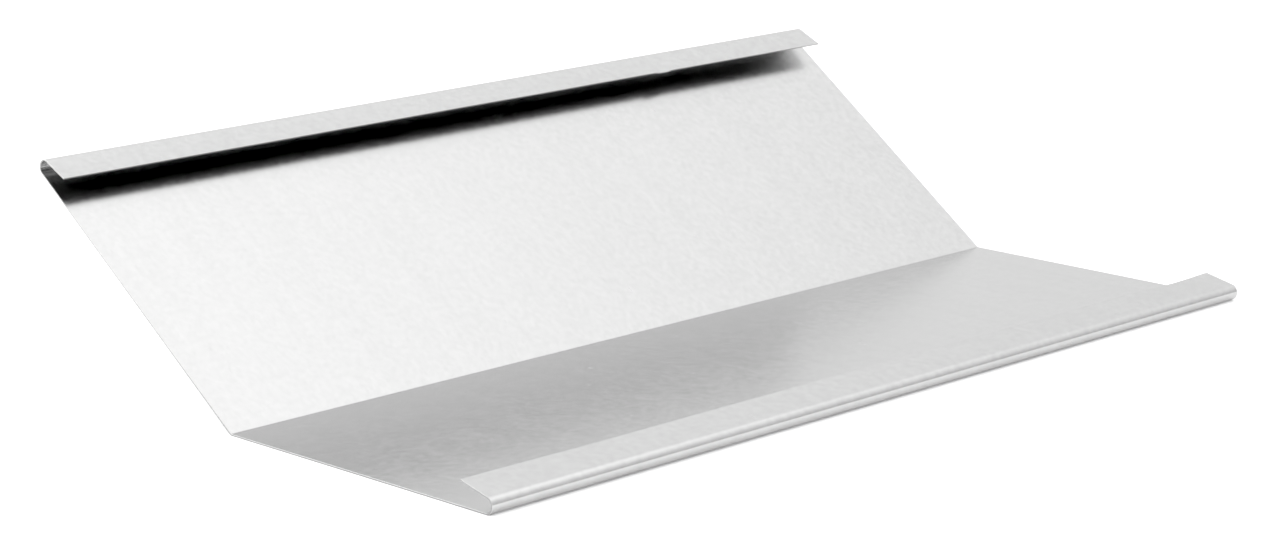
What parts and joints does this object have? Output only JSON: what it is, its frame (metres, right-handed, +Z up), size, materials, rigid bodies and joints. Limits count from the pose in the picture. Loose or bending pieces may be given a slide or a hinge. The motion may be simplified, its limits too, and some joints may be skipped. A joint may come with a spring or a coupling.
{
  "type": "sheet metal trough",
  "caption": "Short V-shaped trough of bright folded sheet metal with an open hem turned inwards along each long edge, as used for a roof valley or a chute.",
  "frame": {"origin": "middle of the bounding box, on the plane that the base wing rests on", "axes": "+X along the folds, +Y from the base wing towards the rising rear wing, +Z up"},
  "size_m": [0.45, 0.27, 0.0926],
  "materials": {
    "sheet": "bright mill finish, satin, with a fine grain running across the wings"
  },
  "bodies": {
    "root": {"base_wing": "sheet", "rear_wing": "sheet", "valley_bend": "sheet", "front_hem_bend_lower": "sheet", "front_hem_bend_nose": "sheet", "front_hem_bend_upper": "sheet", "front_hem_return": "sheet", "rear_hem_bend_lower": "sheet", "rear_hem_bend_nose": "sheet", "rear_hem_bend_upper": "sheet", "rear_hem_return": "sheet"}
  },
  "joints": []
}
